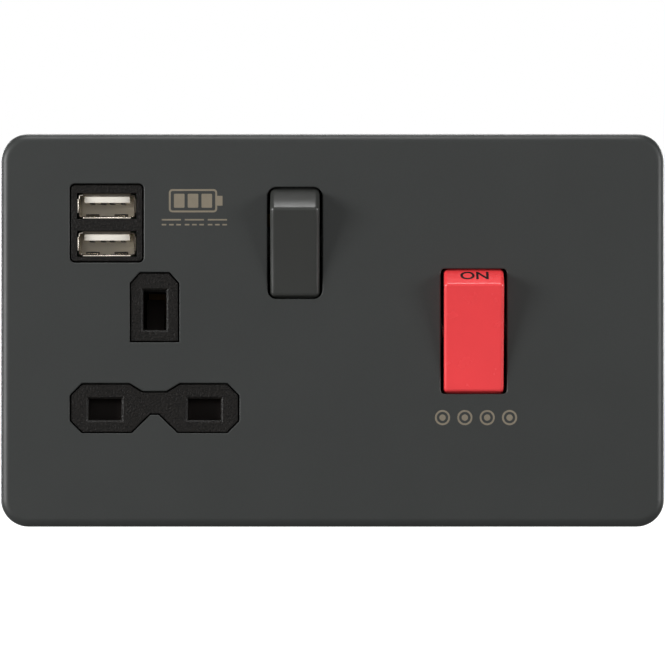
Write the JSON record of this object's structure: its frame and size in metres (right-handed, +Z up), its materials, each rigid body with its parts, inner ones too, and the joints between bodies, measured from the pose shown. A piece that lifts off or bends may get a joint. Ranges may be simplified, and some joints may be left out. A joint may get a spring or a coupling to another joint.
{
  "type": "cooker control unit",
  "caption": "Wall-mounted cooker control unit: a large red cooker switch beside a switched three-pin socket with USB charging ports, on one screwless plate.",
  "frame": {"origin": "in the wall plane at the middle of the plate, halfway between the two fixing screws", "axes": "+X to the right seen from the front, +Y into the wall, +Z up"},
  "size_m": [0.1486, 0.041, 0.088],
  "materials": {
    "plate": "matte",
    "steel": "satin",
    "screw_steel": "satin",
    "black_plastic": "matte",
    "grey_rocker": "satin",
    "red_rocker": "satin",
    "brass": "satin",
    "white_plastic": "satin",
    "port_metal": "satin",
    "board": "satin",
    "ferrite": "matte",
    "can": "satin"
  },
  "bodies": {
    "unit": {"front_plate": "plate", "clip_frame": "black_plastic", "mounting_grid": "steel", "frame_screws": "screw_steel", "fixing_screw_left": "screw_steel", "fixing_screw_right": "screw_steel", "socket_front": "black_plastic", "socket_base": "black_plastic", "socket_screws": "screw_steel", "shutter_spring": "steel", "live_contact": "brass", "neutral_contact": "brass", "earth_contact": "brass", "live_fixed_contact": "brass", "neutral_fixed_contact": "brass", "live_terminal": "brass", "neutral_terminal": "brass", "earth_terminal": "brass", "socket_terminal_screws": "screw_steel", "usb_bezel": "black_plastic", "usb_case": "black_plastic", "usb_board": "board", "usb_shell_upper": "port_metal", "usb_shell_lower": "port_metal", "usb_tongue_upper": "white_plastic", "usb_tongue_lower": "white_plastic", "usb_pins_upper": "brass", "usb_pins_lower": "brass", "usb_transformer": "ferrite", "usb_capacitors": "can", "cooker_front": "black_plastic", "cooker_base": "black_plastic", "cooker_screws": "screw_steel", "cooker_fixed_contact_left": "brass", "cooker_fixed_contact_right": "brass", "cooker_pivot_contact_left": "brass", "cooker_pivot_contact_right": "brass", "cooker_terminal_top_left": "brass", "cooker_terminal_top_right": "brass", "cooker_terminal_bottom_left": "brass", "cooker_terminal_bottom_right": "brass", "cooker_terminal_screws": "screw_steel", "grid_terminal": "brass", "grid_terminal_screw": "screw_steel"},
    "socket_switch": {"socket_rocker": "grey_rocker", "socket_plunger_live": "white_plastic", "socket_plunger_neutral": "white_plastic", "socket_plunger_spring_live": "steel", "socket_plunger_spring_neutral": "steel"},
    "socket_seesaws": {"socket_seesaw_live": "brass", "socket_seesaw_neutral": "brass"},
    "cooker_switch": {"cooker_rocker": "red_rocker", "cooker_plunger_left": "white_plastic", "cooker_plunger_right": "white_plastic", "cooker_plunger_spring_left": "steel", "cooker_plunger_spring_right": "steel"},
    "cooker_seesaws": {"cooker_seesaw_left": "brass", "cooker_seesaw_right": "brass"},
    "shutter_plate": {"shutter": "black_plastic"}
  },
  "joints": [
    {"name": "socket_rocker_turn", "type": "hinge", "parent": "unit", "child": "socket_switch", "pos_m": [-0.0084, -0.0035, 0.01955], "axis": [1, 0, 0], "range_deg": [-27.4, 0]},
    {"name": "socket_seesaw_turn", "type": "hinge", "parent": "unit", "child": "socket_seesaws", "pos_m": [-0.0084, 0.0076, 0.01955], "axis": [1, 0, 0], "range_deg": [0, 18]},
    {"name": "cooker_rocker_turn", "type": "hinge", "parent": "unit", "child": "cooker_switch", "pos_m": [0.0316, -0.0035, -0.0002], "axis": [1, 0, 0], "range_deg": [-19.6, 0]},
    {"name": "cooker_seesaw_turn", "type": "hinge", "parent": "unit", "child": "cooker_seesaws", "pos_m": [0.0316, 0.01065, -0.0002], "axis": [1, 0, 0], "range_deg": [0, 18]},
    {"name": "shutter_slide", "type": "slide", "parent": "unit", "child": "shutter_plate", "axis": [0, 0, -1], "range_m": [0, 0.0065], "stiffness_N_per_m": 60, "springref_m": -0.003, "deforming": ["shutter_spring"]}
  ],
  "couplings": [
    {"joint": "socket_seesaw_turn", "follows": "socket_rocker_turn", "ratio": -0.6568},
    {"joint": "cooker_seesaw_turn", "follows": "cooker_rocker_turn", "ratio": -0.9182}
  ]
}
